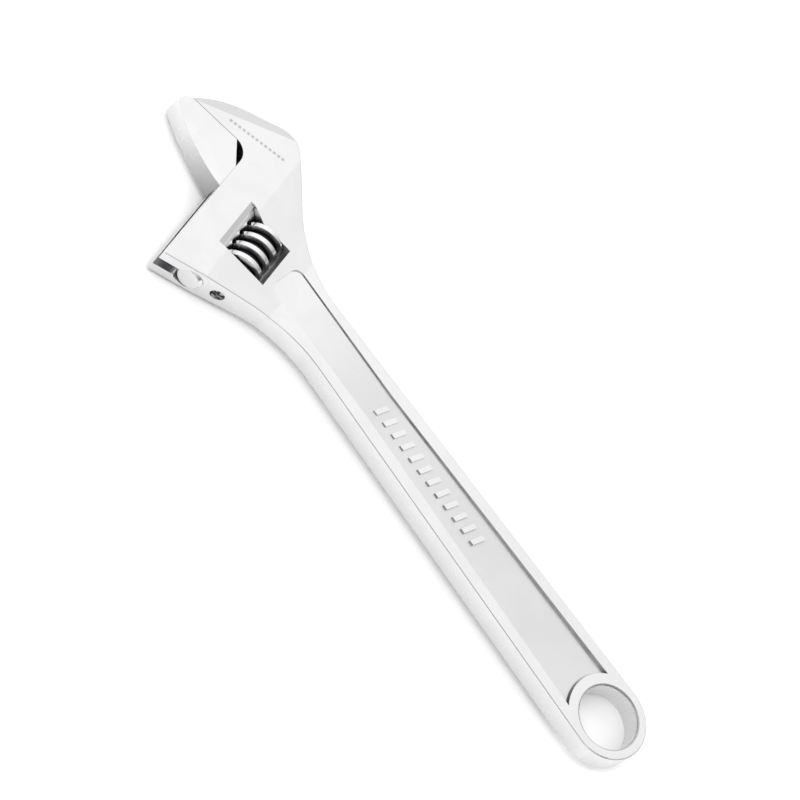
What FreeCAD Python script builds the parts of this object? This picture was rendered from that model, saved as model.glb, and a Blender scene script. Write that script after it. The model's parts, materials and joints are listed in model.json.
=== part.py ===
# Adjustable wrench, 12 inch class: forged body with handle and fixed jaw, sliding jaw with a round
# rail and rack, adjusting worm, worm pin and worm spring.
#
# Frame: millimetres, origin at the centre of the hanging hole on the mid-plane of the forging,
# +X along the handle to the head, +Y to the side the jaw opens to, +Z out of the flat face.
# Jaw frame: a runs from the shoulder to the jaw tips, b runs the way the jaw opens; its origin is
# where the plane of the fixed jaw's face meets the plane of the shoulder.
import FreeCAD
import Part
import math
import os

import Sketcher

os.makedirs("parts", exist_ok=True)
doc = FreeCAD.newDocument("adjustable_wrench")
V = FreeCAD.Vector
sheet = doc.addObject("Spreadsheet::Sheet", "Sizes")

# ---------------------------------------------------------------- driving sizes (mm and degrees)
SIZES = {
    # handle and hanging ring
    "ring_outer_radius": 17.2,
    "hole_radius": 13.0,
    "hole_edge_radius": 0.8,
    "handle_thickness": 10.6,
    "handle_taper_angle": 1.5,
    "neck_open_x": 172,
    "neck_back_x": 187,
    # recessed panel of the handle
    "panel_boss_radius": 17.9,
    "panel_tail_x": 13,
    "panel_tail_half_width": 12.1,
    "panel_waist_x": 148,
    "panel_waist_half_width": 7.8,
    "panel_head_x": 209,
    "panel_head_half_width": 8.2,
    "panel_corner": 4,
    "floor_tail_z": 3.7,
    "floor_head_z": 4.8,
    "mark_start_x": 83,
    "mark_pitch": 5.6,
    "mark_count": 12,
    "mark_width": 2.2,
    "mark_half_length": 3.1,
    "mark_lean": 1.4,
    "mark_top_z": 5.0,
    # head
    "head_angle": 13,
    "head_thickness": 15,
    "throat_x": 256.3,
    "throat_y": -21,
    "throat_radius": 6.5,
    "end_face_angle": 29.3,
    "facet_a": -17.8,
    "slope_end_a": -47,
    "slope_far_a": -310,
    "facet_reach": 12,
    "cut_clearance": 3,
    "back_facet_a": 7.4,
    "back_facet_b": -9.8,
    "back_facet_turn": -64.8,
    "back_facet_slope": 20,
    "edge_radius": 0.7,
    "face_edge_radius": 0.12,
    # channel for the sliding jaw
    "rail_a": -14,
    "bore_radius": 5.8,
    "bore_start_b": -10.5,
    "slot_half_width": 2.6,
    "slot_start_b": 7,
    # worm window
    "window_low_a": -37,
    "window_high_a": -15.5,
    "window_start_b": 20.8,
    "window_corner_a": -22.4,
    "window_corner_b": 17.4,
    "window_end_b": 41.6,
    "window_bevel_width": 2.3,
    "window_bevel_depth": 1.1,
    # sliding jaw
    "jaw_thickness": 14.6,
    "jaw_facet_a": 15.5,
    "jaw_facet_b": 10.7,
    "jaw_facet_turn": 60.8,
    "jaw_facet_slope": 34,
    "jaw_edge_radius": 0.5,
    "jaw_gap": 0.05,
    "jaw_relief_a": 6.3,
    "jaw_relief_b": 9.8,
    "web_half_width": 2.5,
    "web_start_b": 7.3,
    "web_end_b": 20.6,
    "rail_radius": 5.7,
    "rail_start_b": -9,
    "rail_end_b": 59.2,
    "rail_chamfer": 1.0,
    "rack_first_b": -10,
    "rack_count": 10,
    "rack_root_a": -17.3,
    "rack_mouth_a": -21,
    "rack_groove_at_pitch": 2.95,
    "capacity": 34,
    # adjusting worm
    "worm_a": -26.6,
    "worm_b": 31.0,
    "worm_length": 20,
    "worm_radius": 9,
    "worm_root_radius": 6.5,
    "thread_pitch": 5.6,
    "thread_width_at_pitch": 2.65,
    "flank_angle": 15,
    "worm_bore_radius": 2.1,
    "spring_pocket_radius": 3.7,
    "spring_pocket_depth": 4.6,
    "worm_end_chamfer": 0.6,
    # pin and spring
    "pin_radius": 2,
    "pin_start_b": 11,
    "pin_hole_start_b": 10.5,
    "pin_hole_radius": 2.05,
    "pin_head_radius": 2.9,
    "pin_head_hole_radius": 2.95,
    "pin_head_gap": 0.05,
    "pin_head_start_b": 43,
    "pin_end_b": 52.8,
    "pin_slot_width": 0.9,
    "pin_slot_depth": 0.9,
    "pin_chamfer": 0.4,
    "spring_mean_radius": 2.85,
    "spring_wire_radius": 0.3,
    "spring_turns": 4,
}
# Corners of the head outline and of the sliding jaw in the jaw frame (a, b).
CORNERS = {
    "fixed_tip": (29.8, 0),
    "fixed_nose": (24, -6.6),
    "fixed_brow": (9, -15.6),
    "fixed_crown": (-3.2, -20),
    "fixed_cheek": (-15.5, -17),
    "fixed_nape": (-30, 1.2),
    "end_top": (0, 63.2),
    "jaw_tip": (29.75, 0.05),
    "jaw_nose": (33.2, 3.3),
    "jaw_brow": (17.0, 14.2),
    "jaw_heel": (0.05, 21.2),
}
row = 0


def cell(alias, text):
    """One row of the sheet: the alias in words, then its value or formula."""
    global row
    row += 1
    sheet.set(f"A{row}", alias)
    sheet.set(f"B{row}", str(text))
    sheet.setAlias(f"B{row}", alias)


for name, value in SIZES.items():
    cell(name, value)
for name, (a, b) in CORNERS.items():
    cell(name + "_a", a)
    cell(name + "_b", b)
    cell(name + "_x", f"=throat_x + {name}_a * cos(head_angle) - {name}_b * sin(head_angle)")
    cell(name + "_y", f"=throat_y + {name}_a * sin(head_angle) + {name}_b * cos(head_angle)")
# Where the handle's straight sides leave the ring and where they meet the neck.
cell("ring_tangent_x", "=ring_outer_radius * sin(handle_taper_angle)")
cell("ring_tangent_y", "=ring_outer_radius * cos(handle_taper_angle)")
cell("neck_open_y", "=ring_outer_radius / cos(handle_taper_angle) - neck_open_x * tan(handle_taper_angle)")
cell("neck_back_y", "=-ring_outer_radius / cos(handle_taper_angle) + neck_back_x * tan(handle_taper_angle)")
# The head's end face runs straight until an arc carries it into the handle's side.
cell("side_at_zero", "=ring_outer_radius / cos(handle_taper_angle)")
cell("end_reach", "=(end_top_y - side_at_zero + end_top_x * tan(handle_taper_angle))"
     " / (sin(end_face_angle) + cos(end_face_angle) * tan(handle_taper_angle))")
cell("end_run", "=end_reach - (end_top_x - end_reach * cos(end_face_angle) - neck_open_x)"
     " / cos(handle_taper_angle)")
cell("end_low_x", "=end_top_x - end_run * cos(end_face_angle)")
cell("end_low_y", "=end_top_y - end_run * sin(end_face_angle)")
# Throat: the rounded corner between the fixed face and the shoulder.
cell("throat_face_x", "=throat_x + throat_radius * cos(head_angle)")
cell("throat_face_y", "=throat_y + throat_radius * sin(head_angle)")
cell("throat_shoulder_x", "=throat_x - throat_radius * sin(head_angle)")
cell("throat_shoulder_y", "=throat_y + throat_radius * cos(head_angle)")
# Thread and rack proportions across the flanks.
cell("pitch_radius", "=(worm_radius + worm_root_radius) / 2")
cell("pitch_line_a", "=worm_a + pitch_radius")
cell("rack_root_half", "=rack_groove_at_pitch / 2 - (rack_root_a - pitch_line_a) * tan(flank_angle)")
cell("rack_mouth_half", "=rack_groove_at_pitch / 2 + (pitch_line_a - rack_mouth_a) * tan(flank_angle)")
cell("thread_gap_root_half",
     "=(thread_pitch - thread_width_at_pitch) / 2 - (pitch_radius - worm_root_radius) * tan(flank_angle)")
cell("thread_cut_radius", "=worm_radius + 1")
cell("thread_gap_mouth_half",
     "=(thread_pitch - thread_width_at_pitch) / 2 + (thread_cut_radius - pitch_radius) * tan(flank_angle)")
# The gap of the thread lies over the rack's teeth, half a pitch from its grooves.
cell("thread_start_z", "=rack_first_b + 4.5 * thread_pitch - worm_b")
cell("thread_height", "=5 * thread_pitch")
cell("spring_start_b", "=worm_b + worm_length / 2 - spring_pocket_depth + spring_wire_radius + 0.3")
cell("spring_pitch", "=(window_end_b - spring_start_b - spring_wire_radius - 0.05) / spring_turns")
cell("lead_angle", "=atan(thread_pitch / (2 * pi * pitch_radius))")
doc.recompute()


def val(alias):
    got = sheet.get(alias)
    return float(got.Value) if hasattr(got, "Value") else float(got)


def bind(obj, prop, formula):
    obj.setExpression(prop, formula)


# ---------------------------------------------------------------- sketch helpers
def new_body(label):
    body = doc.addObject("PartDesign::Body", label)
    body.Label = label
    return body


def origin_plane(body, role):
    return next(f for f in body.Origin.OriginFeatures if f.Role == role)


def sketch_on(body, name, role):
    sk = body.newObject("Sketcher::SketchObject", name)
    sk.AttachmentSupport = [(origin_plane(body, role), "")]
    sk.MapMode = "FlatFace"
    return sk


def at_jaw_frame(sk):
    """Turn a sketch on the mid-plane of the forging into the jaw frame: x is a, y is b."""
    bind(sk, ".AttachmentOffset.Base.x", "Sizes.throat_x")
    bind(sk, ".AttachmentOffset.Base.y", "Sizes.throat_y")
    sk.AttachmentOffset = FreeCAD.Placement(V(0, 0, 0), FreeCAD.Rotation(V(0, 0, 1), val("head_angle")))
    bind(sk, ".AttachmentOffset.Rotation.Angle", "Sizes.head_angle")


def across_channel(sk, b):
    """Stand a sketch square to the channel at station b: x is a, y is Z."""
    stand_across(sk, f"Sizes.throat_x - ({b}) * sin(Sizes.head_angle)",
                 f"Sizes.throat_y + ({b}) * cos(Sizes.head_angle)", "Sizes.head_angle")


def pin_point(sk, geo, pos, x, y):
    """Hold one point of a sketch at sheet cells x and y (a number holds it at that number)."""
    point = sk.getPoint(geo, pos)
    for kind, target, now, axis in (("DistanceX", x, point.x, -2), ("DistanceY", y, point.y, -1)):
        if target == 0:
            sk.addConstraint(Sketcher.Constraint("PointOnObject", geo, pos, axis))
            continue
        index = sk.addConstraint(Sketcher.Constraint(kind, -1, 1, geo, pos, now))
        sk.setExpression(f"Constraints[{index}]", target)


def outline(sk, points, arcs=None):
    """A closed outline through (x, y, x formula, y formula); arcs maps a side's number to the
    signed bulge height at its middle: above zero bows to the left of the way round."""
    arcs = arcs or {}
    first = sk.GeometryCount
    count = len(points)
    for i, (x, y, _, _) in enumerate(points):
        p, q = V(x, y, 0), V(points[(i + 1) % count][0], points[(i + 1) % count][1], 0)
        if i in arcs:
            along = q - p
            middle = (p + q) * 0.5 + V(-along.y, along.x, 0).normalize() * arcs[i]
            sk.addGeometry(Part.Arc(p, middle, q), False)
        else:
            sk.addGeometry(Part.LineSegment(p, q), False)
    ends = []
    for i, (x, y, _, _) in enumerate(points):
        geo = sk.Geometry[first + i]
        start = sk.getPoint(first + i, 1)
        forward = (start - V(x, y, 0)).Length < 1e-6
        ends.append((1, 2) if forward else (2, 1))
        if i in arcs:
            k = sk.addConstraint(Sketcher.Constraint("Radius", first + i, geo.Radius))
            sk.renameConstraint(k, f"radius_{i}")
    for i, (_, _, fx, fy) in enumerate(points):
        before = (i - 1) % count
        joint = (first + before, ends[before][1], first + i, ends[i][0])
        sk.addConstraint(Sketcher.Constraint("Coincident", *joint))
        pin_point(sk, first + i, ends[i][0], fx, fy)
    return first


def smooth_arc(p, q, heading):
    """Bulge of the arc from p to q that leaves p along heading, and its heading at q."""
    chord = math.atan2(q[1] - p[1], q[0] - p[0])
    turn = (heading - chord + math.pi) % (2 * math.pi) - math.pi
    return math.hypot(q[0] - p[0], q[1] - p[1]) / 2 * math.tan(turn / 2), chord - turn


def named(*names):
    """Outline points taken straight from the sheet's NAME_x and NAME_y cells."""
    return [(val(n + "_x"), val(n + "_y"), f"Sizes.{n}_x", f"Sizes.{n}_y") for n in names]


def box_outline(sk, x0, y0, x1, y1):
    """A rectangle from four formulas of the sheet."""
    xs = [(number(x0), x0), (number(x1), x1)]
    ys = [(number(y0), y0), (number(y1), y1)]
    order = ((0, 0), (1, 0), (1, 1), (0, 1))
    return outline(sk, [(xs[i][0], ys[j][0], xs[i][1], ys[j][1]) for i, j in order])


probe = doc.addObject("App::FeaturePython", "Probe")
probe.addProperty("App::PropertyFloat", "value")


def number(formula):
    """The number a formula of the sheet gives."""
    if isinstance(formula, (int, float)):
        return float(formula)
    probe.setExpression("value", formula)
    probe.recompute()
    return float(probe.value)


def at(*pairs):
    """Outline points from pairs of formulas of the sheet."""
    return [(number(x), number(y), x, y) for x, y in pairs]


def circle(sk, x, y, radius):
    geo = sk.addGeometry(Part.Circle(V(number(x), number(y), 0), V(0, 0, 1), number(radius)), False)
    k = sk.addConstraint(Sketcher.Constraint("Radius", geo, number(radius)))
    sk.setExpression(f"Constraints[{k}]", radius)
    pin_point(sk, geo, 3, x, y)
    return geo


def feature(body, kind, name, profile, length=None, midplane=False, reverse=False):
    f = body.newObject(kind, name)
    f.Profile = profile
    if midplane:
        f.SideType = "Symmetric"
    if length is None:
        f.Type = "ThroughAll"
    else:
        bind(f, "Length", length)
    f.Reversed = reverse
    profile.Visibility = False
    doc.recompute()
    return f


def volume_change(body, feat, before, sign):
    """Stop if a feature did nothing, or did the opposite of what it should."""
    now = feat.Shape.Volume
    if (now - before) * sign <= 0.5:
        raise RuntimeError(f"{body.Label}.{feat.Name} changed the volume by {now - before:.2f}")
    print(f"{body.Label:16s} {feat.Name:22s} {now:10.1f} mm3  solids {len(feat.Shape.Solids)}")
    return now


def round_edges(shape, test=lambda e: True):
    """Names of the circular edges that pass a test."""
    return [f"Edge{i}" for i, e in enumerate(shape.Edges, 1)
            if e.Curve.TypeId == "Part::GeomCircle" and test(e)]


def dress(body, kind, name, base, edges, size):
    f = body.newObject(kind, name)
    f.Base = (base, edges)
    bind(f, "Radius" if kind.endswith("Fillet") else "Size", size)
    doc.recompute()
    return f


def mean(p, q, share):
    """The point that is share of the way from outline point p to outline point q."""
    return p[0] + (q[0] - p[0]) * share, p[1] + (q[1] - p[1]) * share


def rims_by(shape, place):
    """The front and the back rim edge that pass nearest to a place in plan."""
    found = []
    for side in (1, -1):
        near = []
        for i, e in enumerate(shape.Edges, 1):
            if e.CenterOfMass.z * side > 1 and abs(e.tangentAt(e.FirstParameter).z) < 0.9:
                point = Part.Vertex(place[0], place[1], e.CenterOfMass.z)
                near.append((e.distToShape(point)[0], i))
        found.append(f"Edge{min(near)[1]}")
    return found


def stand_across(sk, x, y, angle):
    """Stand a sketch on the XZ plane at (x, y), its x axis turned by angle about Z, its y axis up."""
    sk.AttachmentOffset = FreeCAD.Placement(V(0, 0, 0), FreeCAD.Rotation(V(0, 1, 0), number(angle)))
    bind(sk, ".AttachmentOffset.Rotation.Angle", angle)
    bind(sk, ".AttachmentOffset.Base.x", x)
    bind(sk, ".AttachmentOffset.Base.z", f"-({y})")


def edge_facets(body, name, x, y, angle, half_thickness, slope):
    """Flat facets on both faces outward of a straight line through (x, y) square to angle."""
    sk = sketch_on(body, name + "_sketch", "XZ_Plane")
    stand_across(sk, x, y, angle)
    for side in ("", "-"):
        face = f"{side}({half_thickness})"
        low = f"{side}({half_thickness} - Sizes.facet_reach * tan({slope}))"
        clear = f"{side}({half_thickness} + Sizes.cut_clearance)"
        outline(sk, at(("0", face), ("Sizes.facet_reach", low), ("Sizes.facet_reach", clear), ("0", clear)))
    return feature(body, "PartDesign::Pocket", name, sk, midplane=True)


# ================================================================ wrench body
wrench = new_body("wrench_body")
sk = sketch_on(wrench, "outline_sketch", "XY_Plane")
points = at(("-Sizes.ring_outer_radius", 0), ("Sizes.ring_tangent_x", "-Sizes.ring_tangent_y"))
points += at(("Sizes.neck_back_x", "Sizes.neck_back_y"))
points += named("fixed_nape", "fixed_cheek", "fixed_crown", "fixed_brow", "fixed_nose", "fixed_tip")
points += named("throat_face", "throat_shoulder", "end_top", "end_low")
points += at(("Sizes.neck_open_x", "Sizes.neck_open_y"), ("Sizes.ring_tangent_x", "Sizes.ring_tangent_y"))
ring_bulge = val("ring_outer_radius") * (1 - math.cos(math.radians(45 + val("handle_taper_angle") / 2)))
throat_bulge = val("throat_radius") * (1 - math.sqrt(0.5))
arcs = {0: -ring_bulge, 9: throat_bulge, 14: -ring_bulge}
heading = math.radians(val("handle_taper_angle"))
for side in range(2, 8):
    arcs[side], heading = smooth_arc(points[side], points[side + 1], heading)
arcs[12], _ = smooth_arc(points[12], points[13], math.pi + math.radians(val("end_face_angle")))
outline(sk, points, arcs)
body_pad = feature(wrench, "PartDesign::Pad", "body_pad", sk, "Sizes.head_thickness", midplane=True)
volume = volume_change(wrench, body_pad, 0, 1)

# Front and back faces fall away from the head to the thinner handle.
sk = sketch_on(wrench, "neck_slope_sketch", "XZ_Plane")
across_channel(sk, "0")
half_head, half_handle = "Sizes.head_thickness / 2", "Sizes.handle_thickness / 2"
for side in ("", "-"):
    face = f"{side}({half_head})"
    rim = f"{side}({half_handle})"
    clear = f"{side}({half_head} + Sizes.cut_clearance)"
    points = at(("Sizes.facet_a", face), ("Sizes.slope_end_a", rim), ("Sizes.slope_far_a", rim),
                ("Sizes.slope_far_a", clear), ("Sizes.facet_a", clear))
    outline(sk, points)
neck_slope = feature(wrench, "PartDesign::Pocket", "neck_slope", sk, midplane=True)
volume = volume_change(wrench, neck_slope, volume, -1)

# Flat facets along the back of the fixed jaw.
facet_a, facet_b = "Sizes.back_facet_a", "Sizes.back_facet_b"
back_facets = edge_facets(
    wrench, "back_facets",
    f"Sizes.throat_x + {facet_a} * cos(Sizes.head_angle) - {facet_b} * sin(Sizes.head_angle)",
    f"Sizes.throat_y + {facet_a} * sin(Sizes.head_angle) + {facet_b} * cos(Sizes.head_angle)",
    "Sizes.head_angle + Sizes.back_facet_turn", half_head, "Sizes.back_facet_slope")
volume = volume_change(wrench, back_facets, volume, -1)

# Rounded rims: a fillet follows each smooth run of rim from the edge it is given.
nape, cheek, brow, nose = named("fixed_nape", "fixed_cheek", "fixed_brow", "fixed_nose")
seeds = rims_by(back_facets.Shape, mean(cheek, nape, 0.07))
seeds += rims_by(back_facets.Shape, mean(brow, nose, 0.5))
rim_radius = dress(wrench, "PartDesign::Fillet", "rim_radius", back_facets, seeds, "Sizes.edge_radius")
volume = volume_change(wrench, rim_radius, volume, -1)
shoulder, end = named("throat_shoulder", "end_top")
seeds = rims_by(rim_radius.Shape, mean(shoulder, end, 0.5))
face_radius = dress(wrench, "PartDesign::Fillet", "face_radius", rim_radius, seeds, "Sizes.face_edge_radius")
volume = volume_change(wrench, face_radius, volume, -1)

# Recessed panel on both faces of the handle; its floor rises toward the head.
floor = wrench.newObject("PartDesign::Plane", "panel_floor")
floor.AttachmentSupport = [(origin_plane(wrench, "XY_Plane"), "")]
floor.MapMode = "FlatFace"
floor_rise = "(Sizes.floor_head_z - Sizes.floor_tail_z) / (Sizes.panel_head_x - Sizes.panel_tail_x)"
floor.AttachmentOffset = FreeCAD.Placement(V(0, 0, 0), FreeCAD.Rotation(V(0, 1, 0), -0.4))
bind(floor, ".AttachmentOffset.Rotation.Angle", f"-atan({floor_rise})")
bind(floor, ".AttachmentOffset.Base.z", f"Sizes.floor_tail_z - Sizes.panel_tail_x * {floor_rise}")
sk = sketch_on(wrench, "panel_sketch", "XY_Plane")
bind(sk, ".AttachmentOffset.Base.z", half_handle + " + 4")
arc_x = "sqrt(Sizes.panel_boss_radius ^ 2 - Sizes.panel_tail_half_width ^ 2)"
corner_y = "(Sizes.panel_head_half_width - Sizes.panel_corner)"
points = at((arc_x, "-Sizes.panel_tail_half_width"),
            ("Sizes.panel_waist_x", "-Sizes.panel_waist_half_width"),
            ("Sizes.panel_head_x - Sizes.panel_corner", "-Sizes.panel_head_half_width"),
            ("Sizes.panel_head_x", "-" + corner_y),
            ("Sizes.panel_head_x", corner_y),
            ("Sizes.panel_head_x - Sizes.panel_corner", "Sizes.panel_head_half_width"),
            ("Sizes.panel_waist_x", "Sizes.panel_waist_half_width"),
            (arc_x, "Sizes.panel_tail_half_width"))
round_corner = val("panel_corner") * (1 - math.sqrt(0.5))
boss_bulge = val("panel_boss_radius") - number(arc_x)
outline(sk, points, {2: -round_corner, 4: -round_corner, 7: boss_bulge})
panel = wrench.newObject("PartDesign::Pocket", "panel")
panel.Profile = sk
panel.Type = "UpToFace"
panel.UpToFace = (floor, [""])
sk.Visibility = False
doc.recompute()
volume = volume_change(wrench, panel, volume, -1)
back_panel = wrench.newObject("PartDesign::Mirrored", "back_panel")
back_panel.Originals = [panel]
back_panel.MirrorPlane = (origin_plane(wrench, "XY_Plane"), [""])
wrench.Tip = back_panel
doc.recompute()
volume = volume_change(wrench, back_panel, volume, -1)

# Raised slanted bars on the web, on both faces at once.
sk = sketch_on(wrench, "bar_sketch", "XY_Plane")
left, right = "Sizes.mark_start_x", "Sizes.mark_start_x + Sizes.mark_width"
points = at((left + " - Sizes.mark_lean / 2", "-Sizes.mark_half_length"),
            (right + " - Sizes.mark_lean / 2", "-Sizes.mark_half_length"),
            (right + " + Sizes.mark_lean / 2", "Sizes.mark_half_length"),
            (left + " + Sizes.mark_lean / 2", "Sizes.mark_half_length"))
outline(sk, points)
bar = feature(wrench, "PartDesign::Pad", "bar", sk, "2 * Sizes.mark_top_z", midplane=True)
volume = volume_change(wrench, bar, volume, 1)
bars = wrench.newObject("PartDesign::LinearPattern", "bars")
bars.Originals = [bar]
bars.Direction = (next(f for f in wrench.Origin.OriginFeatures if f.Role == "X_Axis"), [""])
bars.Mode = "Spacing"
bind(bars, "Offset", "Sizes.mark_pitch")
bind(bars, "Occurrences", "Sizes.mark_count")
wrench.Tip = bars
doc.recompute()
volume = volume_change(wrench, bars, volume, 1)

# Hanging hole.
sk = sketch_on(wrench, "hole_sketch", "XY_Plane")
circle(sk, 0, 0, "Sizes.hole_radius")
hanging = feature(wrench, "PartDesign::Pocket", "hanging_hole", sk, midplane=True)
volume = volume_change(wrench, hanging, volume, -1)

hole_rims = round_edges(hanging.Shape, lambda e: abs(e.Curve.Radius - val("hole_radius")) < 0.01
                        and e.Curve.Center.Length < 10)
hole_edge = dress(wrench, "PartDesign::Fillet", "hole_edge", hanging, hole_rims, "Sizes.hole_edge_radius")
volume = volume_change(wrench, hole_edge, volume, -1)

# Channel for the jaw: round bore for the rail and a narrow slot up to the shoulder.
sk = sketch_on(wrench, "bore_sketch", "XZ_Plane")
across_channel(sk, "Sizes.bore_start_b")
circle(sk, "Sizes.rail_a", 0, "Sizes.bore_radius")
bore = feature(wrench, "PartDesign::Pocket", "rail_bore", sk)
volume = volume_change(wrench, bore, volume, -1)
sk = sketch_on(wrench, "slot_sketch", "XZ_Plane")
across_channel(sk, "Sizes.slot_start_b")
box_outline(sk, "Sizes.rail_a", "-Sizes.slot_half_width", "6", "Sizes.slot_half_width")
slot = feature(wrench, "PartDesign::Pocket", "web_slot", sk)
volume = volume_change(wrench, slot, volume, -1)

# Window for the worm, with its upper edges bevelled.
sk = sketch_on(wrench, "window_sketch", "XY_Plane")
at_jaw_frame(sk)
points = at(("Sizes.window_low_a", "Sizes.window_start_b"), ("Sizes.window_corner_a", "Sizes.window_start_b"),
            ("Sizes.window_high_a", "Sizes.window_corner_b"), ("Sizes.window_high_a", "Sizes.window_end_b"),
            ("Sizes.window_low_a", "Sizes.window_end_b"))
outline(sk, points)
window = feature(wrench, "PartDesign::Pocket", "worm_window", sk, midplane=True)
volume = volume_change(wrench, window, volume, -1)
sk = sketch_on(wrench, "bevel_sketch", "XZ_Plane")
across_channel(sk, "Sizes.window_corner_b")
for side in ("", "-"):
    face = f"{side}({half_head})"
    deep = f"{side}({half_head} - Sizes.window_bevel_depth)"
    clear = f"{side}({half_head} + 1)"
    points = at(("Sizes.window_high_a", deep), ("Sizes.window_high_a + Sizes.window_bevel_width", face),
                ("Sizes.window_high_a + Sizes.window_bevel_width", clear), ("Sizes.window_high_a", clear))
    outline(sk, points)
bevel = feature(wrench, "PartDesign::Pocket", "window_bevel", sk,
                "Sizes.window_end_b - Sizes.window_corner_b")
volume = volume_change(wrench, bevel, volume, -1)

# Stepped hole for the worm pin, open at the end of the head.
for name, start, radius in (("pin_hole", "Sizes.pin_hole_start_b", "Sizes.pin_hole_radius"),
                            ("pin_head_hole", "Sizes.pin_head_start_b", "Sizes.pin_head_hole_radius")):
    sk = sketch_on(wrench, name + "_sketch", "XZ_Plane")
    across_channel(sk, start)
    circle(sk, "Sizes.worm_a", 0, radius)
    hole = feature(wrench, "PartDesign::Pocket", name, sk)
    volume = volume_change(wrench, hole, volume, -1)


# ================================================================ sliding jaw, in the jaw frame
def in_jaw_frame(body):
    """Put a body modelled with x along a and y along b into the wrench, jaws closed."""
    body.Placement = FreeCAD.Placement(V(0, 0, 0), FreeCAD.Rotation(V(0, 0, 1), val("head_angle")))
    bind(body, ".Placement.Base.x", "Sizes.throat_x")
    bind(body, ".Placement.Base.y", "Sizes.throat_y")
    bind(body, ".Placement.Rotation.Angle", "Sizes.head_angle")


jaw = new_body("movable_jaw")
in_jaw_frame(jaw)
sk = sketch_on(jaw, "jaw_sketch", "XY_Plane")
points = at(("Sizes.jaw_gap", "Sizes.jaw_relief_b"), ("Sizes.jaw_relief_a", "Sizes.jaw_gap"),
            ("Sizes.jaw_tip_a", "Sizes.jaw_tip_b"), ("Sizes.jaw_nose_a", "Sizes.jaw_nose_b"),
            ("Sizes.jaw_brow_a", "Sizes.jaw_brow_b"), ("Sizes.jaw_heel_a", "Sizes.jaw_heel_b"))
outline(sk, points, {2: -0.5, 3: -0.9, 4: -0.45})
jaw_pad = feature(jaw, "PartDesign::Pad", "jaw_pad", sk, "Sizes.jaw_thickness", midplane=True)
volume = volume_change(jaw, jaw_pad, 0, 1)

jaw_facets = edge_facets(jaw, "jaw_facets", "Sizes.jaw_facet_a", "Sizes.jaw_facet_b", "Sizes.jaw_facet_turn",
                         "Sizes.jaw_thickness / 2", "Sizes.jaw_facet_slope")
volume = volume_change(jaw, jaw_facets, volume, -1)

nose, brow = (val("jaw_nose_a"), val("jaw_nose_b")), (val("jaw_brow_a"), val("jaw_brow_b"))
seeds = rims_by(jaw_facets.Shape, mean(nose, brow, 0.5))
jaw_rims = dress(jaw, "PartDesign::Fillet", "jaw_rims", jaw_facets, seeds, "Sizes.jaw_edge_radius")
volume = volume_change(jaw, jaw_rims, volume, -1)

sk = sketch_on(jaw, "web_sketch", "XY_Plane")
box_outline(sk, "Sizes.rail_a", "Sizes.web_start_b", "2", "Sizes.web_end_b")
web = feature(jaw, "PartDesign::Pad", "web", sk, "2 * Sizes.web_half_width", midplane=True)
volume = volume_change(jaw, web, volume, 1)

sk = sketch_on(jaw, "rail_sketch", "XZ_Plane")
bind(sk, ".AttachmentOffset.Base.z", "-Sizes.rail_start_b")
circle(sk, "Sizes.rail_a", 0, "Sizes.rail_radius")
rail = feature(jaw, "PartDesign::Pad", "rail", sk, "Sizes.rail_end_b - Sizes.rail_start_b", reverse=True)
volume = volume_change(jaw, rail, volume, 1)

rail_rims = round_edges(rail.Shape, lambda e: e.BoundBox.YMin > val("rail_end_b") - 0.01)
rail_bevel = dress(jaw, "PartDesign::Chamfer", "rail_bevel", rail, rail_rims, "Sizes.rail_chamfer")
volume = volume_change(jaw, rail_bevel, volume, -1)

# Rack: straight grooves leaning with the worm's thread.
sk = sketch_on(jaw, "rack_sketch", "XY_Plane")
bind(sk, ".AttachmentOffset.Base.y", "Sizes.rack_first_b")
sk.AttachmentOffset = FreeCAD.Placement(V(0, 0, 0), FreeCAD.Rotation(V(1, 0, 0), 6.5))
bind(sk, ".AttachmentOffset.Rotation.Angle", "Sizes.lead_angle")
points = at(("Sizes.rack_root_a", "-Sizes.rack_root_half"), ("Sizes.rack_root_a", "Sizes.rack_root_half"),
            ("Sizes.rack_mouth_a", "Sizes.rack_mouth_half"), ("Sizes.rack_mouth_a", "-Sizes.rack_mouth_half"))
outline(sk, points)
groove = feature(jaw, "PartDesign::Pocket", "rack_groove", sk, "2 * Sizes.rail_radius + 4", midplane=True)
volume = volume_change(jaw, groove, volume, -1)
rack = jaw.newObject("PartDesign::LinearPattern", "rack")
rack.Originals = [groove]
rack.Direction = (next(f for f in jaw.Origin.OriginFeatures if f.Role == "Y_Axis"), [""])
rack.Mode = "Spacing"
bind(rack, "Offset", "Sizes.thread_pitch")
bind(rack, "Occurrences", "Sizes.rack_count")
jaw.Tip = rack
doc.recompute()
volume = volume_change(jaw, rack, volume, -1)


# ================================================================ parts on the worm's axis
def on_worm_axis(body, b):
    """Stand a body modelled along its own Z on the worm's axis at station b; its X points along a."""
    body.Placement = FreeCAD.Placement(V(0, 0, 0), FreeCAD.Rotation(
        V(math.cos(math.radians(val("head_angle"))), math.sin(math.radians(val("head_angle"))), 0),
        V(0, 0, -1), V(0, 0, 0), "XYZ"))
    bind(body, ".Placement.Base.x",
         f"Sizes.throat_x + Sizes.worm_a * cos(Sizes.head_angle) - ({b}) * sin(Sizes.head_angle)")
    bind(body, ".Placement.Base.y",
         f"Sizes.throat_y + Sizes.worm_a * sin(Sizes.head_angle) + ({b}) * cos(Sizes.head_angle)")


def round_step(body, name, radius, z, length, cut=False):
    """A round boss or bore from height z upward."""
    sk = sketch_on(body, name + "_sketch", "XY_Plane")
    bind(sk, ".AttachmentOffset.Base.z", z)
    circle(sk, 0, 0, radius)
    kind = "PartDesign::Pocket" if cut else "PartDesign::Pad"
    return feature(body, kind, name, sk, length, reverse=cut)


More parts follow.
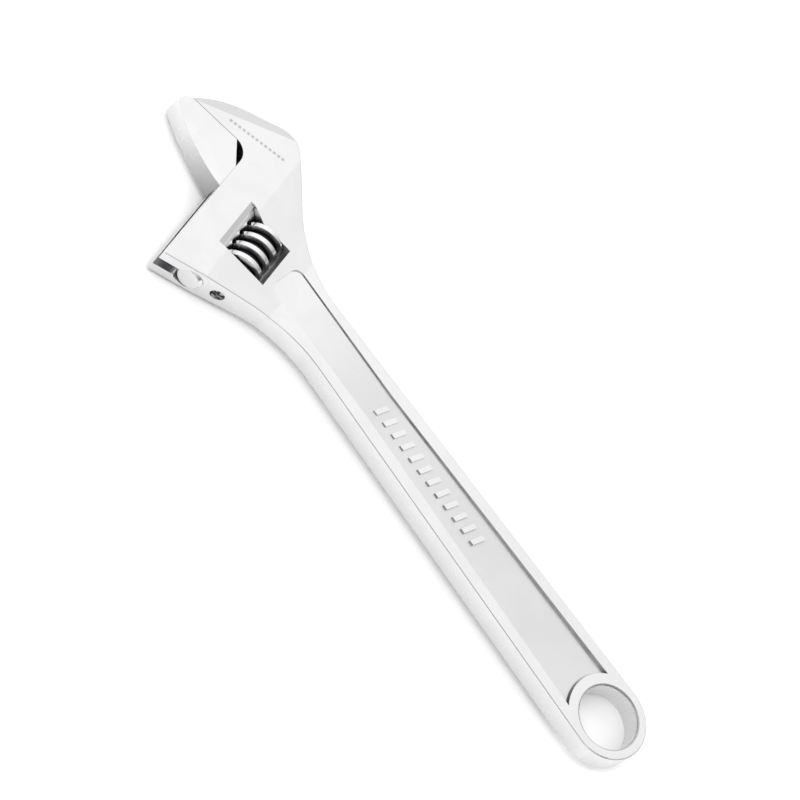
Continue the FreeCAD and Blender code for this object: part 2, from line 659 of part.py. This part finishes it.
worm = new_body("adjusting_worm")
on_worm_axis(worm, "Sizes.worm_b")
blank = round_step(worm, "worm_blank", "Sizes.worm_radius", "-Sizes.worm_length / 2", "Sizes.worm_length")
volume = volume_change(worm, blank, 0, 1)
blank_bevel = dress(worm, "PartDesign::Chamfer", "blank_bevel", blank, round_edges(blank.Shape),
                    "Sizes.worm_end_chamfer")
volume = volume_change(worm, blank_bevel, volume, -1)
sk = sketch_on(worm, "thread_sketch", "XZ_Plane")
rise = "Sizes.thread_start_z"
points = at(("Sizes.worm_root_radius", rise + " - Sizes.thread_gap_root_half"),
            ("Sizes.thread_cut_radius", rise + " - Sizes.thread_gap_mouth_half"),
            ("Sizes.thread_cut_radius", rise + " + Sizes.thread_gap_mouth_half"),
            ("Sizes.worm_root_radius", rise + " + Sizes.thread_gap_root_half"))
outline(sk, points)
thread = worm.newObject("PartDesign::SubtractiveHelix", "thread")
thread.Profile = sk
thread.ReferenceAxis = (next(f for f in worm.Origin.OriginFeatures if f.Role == "Z_Axis"), [""])
thread.Mode = 0
bind(thread, "Pitch", "Sizes.thread_pitch")
bind(thread, "Height", "Sizes.thread_height")
sk.Visibility = False
doc.recompute()
volume = volume_change(worm, thread, volume, -1)
bore = round_step(worm, "worm_bore", "Sizes.worm_bore_radius", "-Sizes.worm_length / 2 - 1",
                  "Sizes.worm_length + 2", cut=True)
volume = volume_change(worm, bore, volume, -1)
pocket = round_step(worm, "spring_pocket", "Sizes.spring_pocket_radius",
                    "Sizes.worm_length / 2 - Sizes.spring_pocket_depth",
                    "Sizes.spring_pocket_depth + 1", cut=True)
volume = volume_change(worm, pocket, volume, -1)

pin = new_body("worm_pin")
on_worm_axis(pin, 0)
shank = round_step(pin, "shank", "Sizes.pin_radius", "Sizes.pin_start_b",
                   "Sizes.pin_end_b - Sizes.pin_start_b")
volume = volume_change(pin, shank, 0, 1)
head = round_step(pin, "head", "Sizes.pin_head_radius", "Sizes.pin_head_start_b + Sizes.pin_head_gap",
                  "Sizes.pin_end_b - Sizes.pin_head_start_b - Sizes.pin_head_gap")
volume = volume_change(pin, head, volume, 1)
rims = round_edges(head.Shape, lambda e: e.BoundBox.ZMin > val("pin_end_b") - 0.01)
pin_bevel = dress(pin, "PartDesign::Chamfer", "pin_bevel", head, rims, "Sizes.pin_chamfer")
volume = volume_change(pin, pin_bevel, volume, -1)
sk = sketch_on(pin, "screw_slot_sketch", "XZ_Plane")
box_outline(sk, "-Sizes.pin_slot_width / 2", "Sizes.pin_end_b - Sizes.pin_slot_depth",
            "Sizes.pin_slot_width / 2", "Sizes.pin_end_b + 1")
screw_slot = feature(pin, "PartDesign::Pocket", "screw_slot", sk, midplane=True)
volume = volume_change(pin, screw_slot, volume, -1)

spring = new_body("worm_spring")
on_worm_axis(spring, "Sizes.spring_start_b")
sk = sketch_on(spring, "wire_sketch", "XZ_Plane")
circle(sk, "Sizes.spring_mean_radius", 0, "Sizes.spring_wire_radius")
coil = spring.newObject("PartDesign::AdditiveHelix", "coil")
coil.Profile = sk
coil.ReferenceAxis = (next(f for f in spring.Origin.OriginFeatures if f.Role == "Z_Axis"), [""])
coil.Mode = 1
bind(coil, "Pitch", "Sizes.spring_pitch")
bind(coil, "Turns", "Sizes.spring_turns")
sk.Visibility = False
doc.recompute()
volume = volume_change(spring, coil, 0, 1)

# ---------------------------------------------------------------- check and write
doc.recompute()
for obj in doc.Objects:
    if {"Invalid", "Error"} & set(obj.State):
        raise RuntimeError(f"{obj.Name} is {obj.State}")
for body in (wrench, jaw, worm, pin, spring):
    shape = body.Shape
    if shape.isNull() or not shape.isValid() or len(shape.Solids) != 1:
        raise RuntimeError(f"{body.Label}: {len(shape.Solids)} solids, valid {shape.isValid()}")
    shape.exportStep(f"parts/{body.Label}.step")
    box = shape.BoundBox
    print(f"{body.Label:16s} x {box.XMin:7.2f} {box.XMax:7.2f}  y {box.YMin:7.2f} {box.YMax:7.2f}"
          f"  z {box.ZMin:6.2f} {box.ZMax:6.2f}  {shape.Volume:9.1f} mm3")
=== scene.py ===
"""Looks of the adjustable wrench: chrome finishes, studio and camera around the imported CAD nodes."""

import json
import math

import bpy
from mathutils import Matrix, Vector


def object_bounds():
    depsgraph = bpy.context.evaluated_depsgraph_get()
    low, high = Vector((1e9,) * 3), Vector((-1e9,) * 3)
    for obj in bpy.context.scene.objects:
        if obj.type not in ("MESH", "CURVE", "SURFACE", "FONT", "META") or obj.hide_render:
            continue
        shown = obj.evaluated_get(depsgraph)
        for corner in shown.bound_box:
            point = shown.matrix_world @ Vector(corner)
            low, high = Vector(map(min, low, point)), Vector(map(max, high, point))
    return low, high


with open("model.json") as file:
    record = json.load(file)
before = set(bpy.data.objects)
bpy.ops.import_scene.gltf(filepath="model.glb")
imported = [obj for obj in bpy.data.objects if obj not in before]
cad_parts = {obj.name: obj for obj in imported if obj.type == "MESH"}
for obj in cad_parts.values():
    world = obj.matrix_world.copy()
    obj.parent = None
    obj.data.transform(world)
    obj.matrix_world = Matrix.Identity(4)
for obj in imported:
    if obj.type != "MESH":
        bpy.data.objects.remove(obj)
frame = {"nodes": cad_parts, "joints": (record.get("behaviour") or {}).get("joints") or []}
cad_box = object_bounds()
nodes = frame["nodes"]
scene = bpy.context.scene

# Jaw frame of the CAD model: origin where the fixed face meets the shoulder, turned about Z.
HEAD_ANGLE = 13
THROAT = Vector((0.2563, -0.021, 0))
ALONG = Vector((math.cos(math.radians(HEAD_ANGLE)), math.sin(math.radians(HEAD_ANGLE)), 0))
ACROSS = Vector((-ALONG.y, ALONG.x, 0))
SIDE_LOW_Z, SIDE_HIGH_Z = -0.007, 0.006
UP = (0, 0, 1)


# ---------------------------------------------------------------- node material helpers
class Graph:
    """A material's node tree with short ways to add and join nodes."""

    def __init__(self, name):
        self.material = bpy.data.materials.new(name)
        self.material.use_nodes = True
        self.tree = self.material.node_tree
        self.tree.nodes.clear()
        self.output = self.add("ShaderNodeOutputMaterial")
        self.shader = self.add("ShaderNodeBsdfPrincipled")
        self.join(self.shader, "BSDF", self.output, "Surface")
        self.place = self.add("ShaderNodeTexCoord")

    def add(self, kind, **settings):
        node = self.tree.nodes.new(kind)
        for key, value in settings.items():
            setattr(node, key, value)
        return node

    def join(self, source, out, target, into):
        self.tree.links.new(source.outputs[out], target.inputs[into])

    def put(self, target, into, value):
        """Link a socket given as (node, output), or set a plain value."""
        if isinstance(value, tuple) and isinstance(value[0], bpy.types.Node):
            self.join(value[0], value[1], target, into)
        else:
            target.inputs[into].default_value = value

    def noise(self, scale, detail=4.0, rough=0.5, distortion=0.0, stretch=None, turn=0.0):
        """Noise over the object's own coordinates, which are metres; stretch scales it by axis."""
        mapping = self.add("ShaderNodeMapping")
        self.join(self.place, "Object", mapping, "Vector")
        mapping.inputs["Rotation"].default_value = (0, 0, turn)
        mapping.inputs["Scale"].default_value = stretch or (1, 1, 1)
        node = self.add("ShaderNodeTexNoise")
        self.join(mapping, "Vector", node, "Vector")
        node.inputs["Scale"].default_value = scale
        node.inputs["Detail"].default_value = detail
        node.inputs["Roughness"].default_value = rough
        node.inputs["Distortion"].default_value = distortion
        return node, "Fac"

    def ramp(self, source, low, high, from_low=0.35, from_high=0.65):
        """Map a value smoothly from one range onto another."""
        node = self.add("ShaderNodeMapRange", interpolation_type="SMOOTHSTEP")
        self.put(node, "Value", source)
        node.inputs["From Min"].default_value = from_low
        node.inputs["From Max"].default_value = from_high
        node.inputs["To Min"].default_value = low
        node.inputs["To Max"].default_value = high
        return node, "Result"

    def math(self, operation, a, b=0.0, clamp=False):
        node = self.add("ShaderNodeMath", operation=operation, use_clamp=clamp)
        self.put(node, 0, a)
        self.put(node, 1, b)
        return node, "Value"

    def mix(self, share, a, b):
        """Blend two colours."""
        node = self.add("ShaderNodeMix", data_type="RGBA")
        self.put(node, 0, share)
        self.put(node, 6, a)
        self.put(node, 7, b)
        return node, 2

    def bump(self, height, distance, strength=1.0, under=None):
        node = self.add("ShaderNodeBump")
        self.put(node, "Height", height)
        node.inputs["Distance"].default_value = distance
        node.inputs["Strength"].default_value = strength
        if under:
            self.join(under[0], under[1], node, "Normal")
        return node, "Normal"


def grey(level, blue=0.0):
    """A neutral colour, a little bluer where blue is given."""
    return (level, level, level + blue, 1)


def chrome(name, bright, shade, smooth, satin, swell=0.00003, hollow=0.9, reach=0.004):
    """Plated steel: slow swells left by polishing, fine grain, hazy patches and painted shade in the hollows.

    bright and shade are the tones, smooth and satin the roughness, of clear and of hazy patches;
    swell is the height of the swells, and hollows within reach get painted shade by the share hollow.
    """
    grain = 0.0000025
    g = Graph(name)
    g.shader.inputs["Metallic"].default_value = 1.0
    haze = g.noise(38, detail=5, rough=0.62, distortion=0.6)
    specks = g.noise(900, detail=2)
    # Painted shade: the colour darkens toward near black in hollows that the occlusion node finds within
    # reach.
    corners = g.add("ShaderNodeAmbientOcclusion", samples=8)
    corners.inputs["Distance"].default_value = reach
    dirt = g.ramp((corners, "AO"), 1.0, 0.0, 0.05, 0.62)
    dirt = g.math("MULTIPLY", dirt, g.ramp(haze, 0.75, 1.0))
    g.colour = g.mix(g.ramp(haze, 0.0, 0.35), grey(bright, 0.006), grey(shade, 0.010))
    g.rough = g.math("ADD", g.ramp(haze, smooth, satin), g.math("MULTIPLY", specks, 0.03))
    g.normal = g.bump(specks, grain, under=g.bump(g.noise(55, detail=2, rough=0.4), swell))
    g.dirt = g.math("MULTIPLY", dirt, hollow)
    return g


def area(g, mask, tone, share, rough, scale, depth, stretch=None, turn=0.0):
    """Another finish, or a painted shade or reflection, where mask is 1: its own tone, roughness and surface
    grain.
    """
    g.colour = g.mix(g.math("MULTIPLY", mask, share), g.colour, grey(tone, 0.006))
    g.rough = g.math("ADD", g.rough, g.math("MULTIPLY", mask, rough))
    height = g.math("MULTIPLY", g.noise(scale, detail=3, rough=0.6, stretch=stretch, turn=turn), mask)
    g.normal = g.bump(height, depth, under=g.normal)


def finished(g):
    """Join the finish to the shader, with the painted shade in the hollows added last."""
    # Painted shade: the hollows are darkened toward near black here.
    g.put(g.shader, "Base Color", g.mix(g.dirt, g.colour, grey(0.02)))
    g.put(g.shader, "Roughness", g.math("ADD", g.rough, g.math("MULTIPLY", g.dirt, 0.2), clamp=True))
    g.put(g.shader, "Normal", g.normal)
    return g


def dot(g, vector, direction, origin=(0, 0, 0)):
    """How far a vector socket, less origin, reaches along direction."""
    moved = g.add("ShaderNodeVectorMath", operation="SUBTRACT")
    g.put(moved, 0, vector)
    moved.inputs[1].default_value = origin
    node = g.add("ShaderNodeVectorMath", operation="DOT_PRODUCT")
    g.join(moved, "Vector", node, 0)
    node.inputs[1].default_value = direction
    return node, "Value"


def within(g, value, low, high, soft):
    """1 where value lies between low and high, with soft edges."""
    rise = g.ramp(value, 0.0, 1.0, low - soft, low + soft)
    fall = g.ramp(value, 1.0, 0.0, high - soft, high + soft)
    return g.math("MULTIPLY", rise, fall)


def span(g, a, b):
    """Length of the plane vector whose two parts are a and b."""
    return g.math("SQRT", g.math("ADD", g.math("MULTIPLY", a, a), g.math("MULTIPLY", b, b)))


def ground_faces(g):
    """1 on the machined faces, which lie square to the jaw's own axes."""
    normal = (g.place, "Normal")
    along = g.math("ABSOLUTE", dot(g, normal, ACROSS))
    out = dot(g, normal, ALONG)
    return g.math("MAXIMUM", g.ramp(along, 0.0, 1.0, 0.985, 0.997), g.ramp(out, 0.0, 1.0, 0.985, 0.997))


def sides(g, tone):
    """The narrow upright sides: belt-ground along the handle and rougher than the faces, with a darker tone
    that is partly painted shade, strongest toward the bottom.
    """
    upright = g.ramp(g.math("ABSOLUTE", dot(g, (g.place, "Normal"), UP)), 1.0, 0.0, 0.25, 0.80)
    # Painted shade: the sides get darker toward the bottom, standing for the shadow under the wrench that
    # they mirror.
    low = g.ramp(dot(g, (g.place, "Object"), UP), 1.0, 0.72, SIDE_LOW_Z, SIDE_HIGH_Z)
    area(g, g.math("MULTIPLY", upright, low), tone, 0.9, 0.16, 1300, 0.000004, stretch=(0.08, 0.3, 1))
    return upright


def dress(node, graph):
    """Give a CAD node one finish."""
    mesh = nodes[node].data
    mesh.materials.clear()
    mesh.materials.append(finished(graph).material)


# ---------------------------------------------------------------- finishes, painted shade and painted reflections
GRIND_STRETCH = (1, 1, 0.06)

forging = chrome("forging_chrome", 0.90, 0.82, 0.08, 0.20)
place = (forging.place, "Object")
tilt = forging.math("ABSOLUTE", dot(forging, (forging.place, "Normal"), UP))
flat = forging.ramp(tilt, 0.0, 1.0, 0.93, 0.985)
# Sunk panel of the handle, whose floor rises toward the head: a blasted, duller finish that fades out there.
FLOOR_TAIL_Z, FLOOR_TAIL_X, FLOOR_RISE = 0.0037, 0.013, 0.0011 / 0.196
FADE_START_X, FADE_END_X = 0.150, 0.205
height = forging.math("ABSOLUTE", dot(forging, place, UP))
floor_height = forging.math("MULTIPLY", dot(forging, place, (1, 0, 0), (FLOOR_TAIL_X, 0, 0)), FLOOR_RISE)
over_floor = forging.math("SUBTRACT", height, forging.math("ADD", floor_height, FLOOR_TAIL_Z))
panel = forging.math("MULTIPLY", flat, within(forging, over_floor, -0.0008, 0.00025, 0.00008))
to_head = forging.ramp(dot(forging, place, (1, 0, 0)), 1.0, 0.0, FADE_START_X, FADE_END_X)
panel = forging.math("MULTIPLY", panel, to_head)
area(forging, panel, 0.78, 0.75, 0.17, 1500, 0.000012)
sides(forging, 0.64)
area(forging, ground_faces(forging), 0.80, 0.5, 0.12, 2400, 0.000006, stretch=GRIND_STRETCH)

# Painted dark reflections in the panel's corner at the ring, and on the rounded rim of the hanging hole,
# graded across the handle.
BOSS_RADIUS, HOLE_RADIUS, RIM_Z, PANEL_HALF_WIDTH = 0.0179, 0.0130, 0.0053, 0.0123
side_y = dot(forging, place, (0, 1, 0))
from_hole = span(forging, dot(forging, place, (1, 0, 0)), side_y)
sunk = forging.ramp(height, 1.0, 0.0, RIM_Z - 0.0003, RIM_Z - 0.0001)
off_middle = forging.math("ABSOLUTE", side_y)
between = forging.ramp(off_middle, 1.0, 0.0, PANEL_HALF_WIDTH, PANEL_HALF_WIDTH + 0.0003)
by_boss = within(forging, from_hole, BOSS_RADIUS - 0.0002, BOSS_RADIUS + 0.0006, 0.0001)
# Painted reflection: a dark band in the panel's corner beside the boss.
corner = forging.math("MULTIPLY", by_boss, forging.math("MULTIPLY", sunk, between))
corner = forging.math("MULTIPLY", corner, forging.ramp(side_y, 0.1, 1.0, -0.011, 0.011))
area(forging, corner, 0.20, 0.9, 0.15, 1500, 0.000004)
by_rim = within(forging, from_hole, HOLE_RADIUS + 0.0001, HOLE_RADIUS + 0.0007, 0.0002)
# Painted reflection: a dark band on the rounded rim of the hanging hole.
painted_rim_reflection = forging.math("MULTIPLY", by_rim, forging.ramp(side_y, 1.0, 0.15, -0.013, 0.006))
area(forging, painted_rim_reflection, 0.28, 0.8, 0.1, 1500, 0.000004)

# A row of fine etched dashes on the front of the fixed jaw.
ROW_START, ROW_END = Vector((0.2705, -0.0222, 0)), Vector((0.2455, -0.0318, 0))
ROW_LENGTH = (ROW_END - ROW_START).length
row_way = (ROW_END - ROW_START).normalized()
row_side = Vector((-row_way.y, row_way.x, 0))
DASH_STEP, DASH_START, DASH_END = 0.0021, 0.0003, 0.0016
DASH_HALF_WIDTH, SOFT = 0.0006, 0.0001
FRONT_LOW_Z, FRONT_Z = 0.0060, 0.0072
run = dot(forging, place, row_way, ROW_START)
offset = forging.math("ABSOLUTE", dot(forging, place, row_side, ROW_START))
dash = within(forging, forging.math("MODULO", run, DASH_STEP), DASH_START, DASH_END, 0.00008)
etch = forging.math("MULTIPLY", dash, within(forging, run, 0.0, ROW_LENGTH, SOFT))
narrow = forging.ramp(offset, 1.0, 0.0, DASH_HALF_WIDTH - SOFT, DASH_HALF_WIDTH + SOFT)
etch = forging.math("MULTIPLY", etch, narrow)
on_front = forging.ramp(dot(forging, place, UP), 0.0, 1.0, FRONT_LOW_Z, FRONT_Z)
etch = forging.math("MULTIPLY", etch, on_front)
area(forging, etch, 0.42, 0.6, 0.25, 2000, 0.00001)
dress("wrench_body", forging)

jaw = chrome("jaw_chrome", 0.91, 0.84, 0.08, 0.18)
area(jaw, ground_faces(jaw), 0.80, 0.5, 0.12, 2400, 0.000006, stretch=GRIND_STRETCH)
jaw_side = sides(jaw, 0.66)
# The curved back of the jaw gets a painted dark reflection, a little duller, that grows toward its heel; its
# rail stays bright.
past_heel = dot(jaw, (jaw.place, "Object"), ALONG, THROAT)
off_rail = jaw.ramp(past_heel, 0.0, 1.0, -0.005, -0.003)
painted_heel_reflection = jaw.math("MULTIPLY", jaw.ramp(past_heel, 1.0, 0.0, -0.001, 0.030), off_rail)
area(jaw, jaw.math("MULTIPLY", jaw_side, painted_heel_reflection), 0.32, 0.85, 0.05, 1300, 0.000002)
dress("movable_jaw", jaw)

# The worm is bright on its crests, with painted shade between them.
worm = chrome("worm_chrome", 0.94, 0.86, 0.09, 0.20, swell=0.00001, hollow=0.97, reach=0.003)
spin = next(joint for joint in frame["joints"] if joint["name"] == "worm_spin")
spot = (worm.place, "Object")
out_along = dot(worm, spot, ALONG, spin["pos_m"])
out_up = dot(worm, spot, UP)
ROOT_RADIUS, CREST_RADIUS = 0.0068, 0.0086
painted_groove_shade = worm.ramp(span(worm, out_along, out_up), 1.0, 0.0, ROOT_RADIUS, CREST_RADIUS)
area(worm, painted_groove_shade, 0.03, 0.97, 0.12, 1500, 0.00001)
dress("adjusting_worm", worm)
dress("worm_pin", chrome("pin_steel", 0.62, 0.50, 0.22, 0.36, swell=0.00001, reach=0.002))
dress("worm_spring", chrome("spring_steel", 0.50, 0.40, 0.25, 0.40, swell=0.000005, reach=0.001))

# ---------------------------------------------------------------- studio
lowest = cad_box[0].z
floor_mesh = bpy.data.meshes.new("studio_floor")
HALF_SIDE = 6.0
floor_corners = [(x * HALF_SIDE, y * HALF_SIDE, lowest) for x, y in ((-1, -1), (1, -1), (1, 1), (-1, 1))]
floor_mesh.from_pydata(floor_corners, [], [(0, 1, 2, 3)])
floor = bpy.data.objects.new("studio_floor", floor_mesh)
scene.collection.objects.link(floor)
floor_look = Graph("floor_paper")
floor_look.shader.inputs["Roughness"].default_value = 0.9
fibres = floor_look.ramp(floor_look.noise(30, detail=6), 0.0, 1.0)
floor_look.put(floor_look.shader, "Base Color", floor_look.mix(fibres, grey(0.94), grey(0.96)))
floor_mesh.materials.append(floor_look.material)

# A white tent, duller toward the handle's end and the horizon, with a dark opening where it is looked into.
world = bpy.data.worlds.new("studio")
scene.world = world
world.use_nodes = True
tree = world.node_tree
tree.nodes.clear()
background = tree.nodes.new("ShaderNodeBackground")
out = tree.nodes.new("ShaderNodeOutputWorld")
tree.links.new(background.outputs["Background"], out.inputs["Surface"])
around = tree.nodes.new("ShaderNodeTexCoord")


def toward(direction, low, high, dark, light, kind):
    """World brightness that goes from dark to light as the direction turns."""
    turn = tree.nodes.new("ShaderNodeVectorMath")
    turn.operation = "DOT_PRODUCT"
    tree.links.new(around.outputs["Generated"], turn.inputs[0])
    turn.inputs[1].default_value = direction
    step = tree.nodes.new("ShaderNodeMapRange")
    step.interpolation_type = kind
    tree.links.new(turn.outputs["Value"], step.inputs["Value"])
    for socket, value in (("From Min", low), ("From Max", high), ("To Min", dark), ("To Max", light)):
        step.inputs[socket].default_value = value
    return step.outputs["Result"]


LOOK_BACK = (0.0, 0.613, 0.790)
tent = toward((0.46, 0.0, 0.37), -0.40, 0.35, 0.31, 1.06, "LINEAR")
opening = toward(LOOK_BACK, 0.935, 0.990, 1.0, 0.12, "SMOOTHSTEP")
horizon = toward((0.0, 0.0, 1.0), 0.0, 0.42, 0.64, 1.0, "SMOOTHSTEP")
strength = tent
for part in (opening, horizon):
    product = tree.nodes.new("ShaderNodeMath")
    product.operation = "MULTIPLY"
    tree.links.new(strength, product.inputs[0])
    tree.links.new(part, product.inputs[1])
    strength = product.outputs["Value"]
tree.links.new(strength, background.inputs["Strength"])
background.inputs["Color"].default_value = (1, 1, 1, 1)


def softbox(name, place, size, power, aim=(0.14, 0, 0)):
    """A large square lamp turned toward the wrench. It lights the paper, and the chrome doesn't mirror it."""
    light = bpy.data.lights.new(name, "AREA")
    light.shape = "RECTANGLE"
    light.size = light.size_y = size
    light.energy = power
    lamp = bpy.data.objects.new(name, light)
    lamp.location = place
    lamp.rotation_mode = "QUATERNION"
    lamp.rotation_quaternion = (Vector(aim) - Vector(place)).to_track_quat("-Z", "Y")
    lamp.visible_glossy = False
    scene.collection.objects.link(lamp)


softbox("key_softbox", (0.3, 1.3, 1.7), 2.4, 28)
softbox("top_softbox", (-0.2, -0.5, 2.2), 2.0, 13)

# ---------------------------------------------------------------- camera
RIGHT = Vector((-0.5934, -0.6360, 0.4935)).normalized()
BACK = Vector(LOOK_BACK).normalized()
LOOK_AT = Vector((0.1448, -0.0138, 0.0))
DISTANCE = 2.0
FIELD = 0.3072
SENSOR = 36
camera_data = bpy.data.cameras.new("camera")
camera = bpy.data.objects.new("camera", camera_data)
scene.collection.objects.link(camera)
up = BACK.cross(RIGHT).normalized()
right = up.cross(BACK).normalized()
turned = Matrix((right, up, BACK)).transposed().to_4x4()
camera.matrix_world = Matrix.Translation(LOOK_AT + BACK * DISTANCE) @ turned
camera_data.sensor_width = SENSOR
camera_data.lens = SENSOR * DISTANCE / FIELD
camera_data.clip_end = 50
scene.camera = camera
scene.view_settings.view_transform = "Standard"
